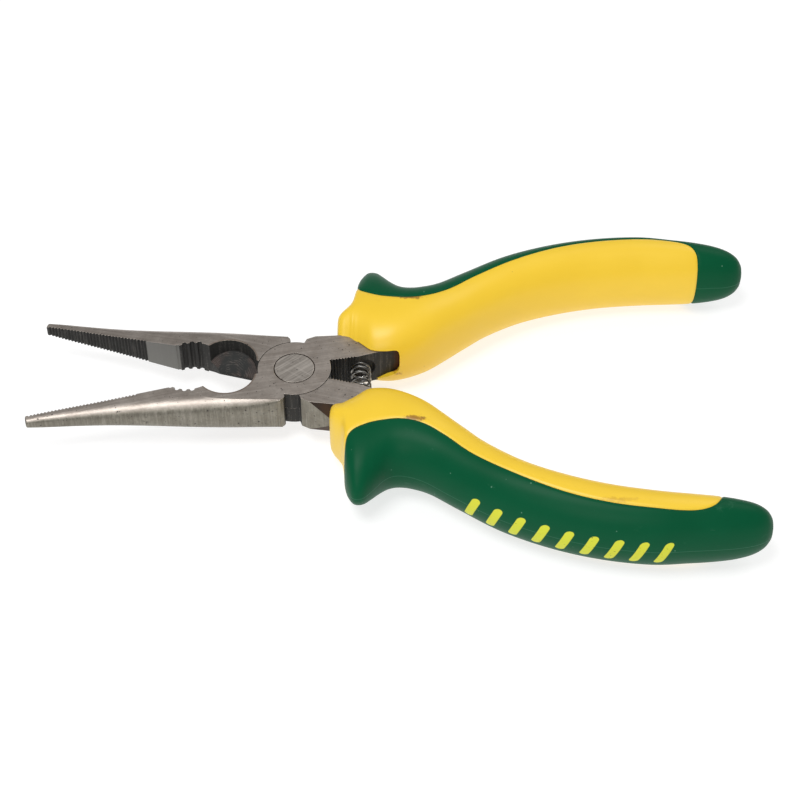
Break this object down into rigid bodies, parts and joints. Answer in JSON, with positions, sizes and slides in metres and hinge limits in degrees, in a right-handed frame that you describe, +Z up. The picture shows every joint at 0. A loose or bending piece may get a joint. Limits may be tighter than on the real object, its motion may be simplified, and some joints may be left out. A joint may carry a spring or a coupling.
{
  "type": "needle nose pliers",
  "caption": "Long tapered jaws with fine teeth, pipe grip and side cutter, lap joint with rivet and return spring, and curved two-colour moulded grips with finger guards.",
  "frame": {"origin": "on the pivot axis, in the plane of the joint's flat underside", "axes": "+X from the pivot towards the handles' tails, +Z up through the joint along the pivot axis, +Y towards the far handle"},
  "size_m": [0.1648, 0.0942, 0.0196],
  "materials": {
    "ground_steel": "ground, fine grinding lines, black oxide in the recesses",
    "rivet_steel": "ground flush with the joint faces",
    "spring_steel": "dark drawn wire",
    "yellow_plastic": "satin moulded",
    "green_rubber": "satin moulded"
  },
  "bodies": {
    "upper_half": {"upper_lap_half": "ground_steel", "pivot_rivet": "rivet_steel", "return_spring": "spring_steel", "far_grip_sleeve": "yellow_plastic", "far_grip_cover": "green_rubber"},
    "lower_half": {"lower_lap_half": "ground_steel", "near_grip_sleeve": "yellow_plastic", "near_grip_cover": "green_rubber"}
  },
  "joints": [
    {"name": "jaw_hinge", "type": "hinge", "parent": "upper_half", "child": "lower_half", "pos_m": [0, 0, 0.0045], "axis": [0, 0, 1], "range_deg": [-18, 26.8], "stiffness_Nm_per_rad": 0.1, "deforming": ["return_spring"]}
  ]
}
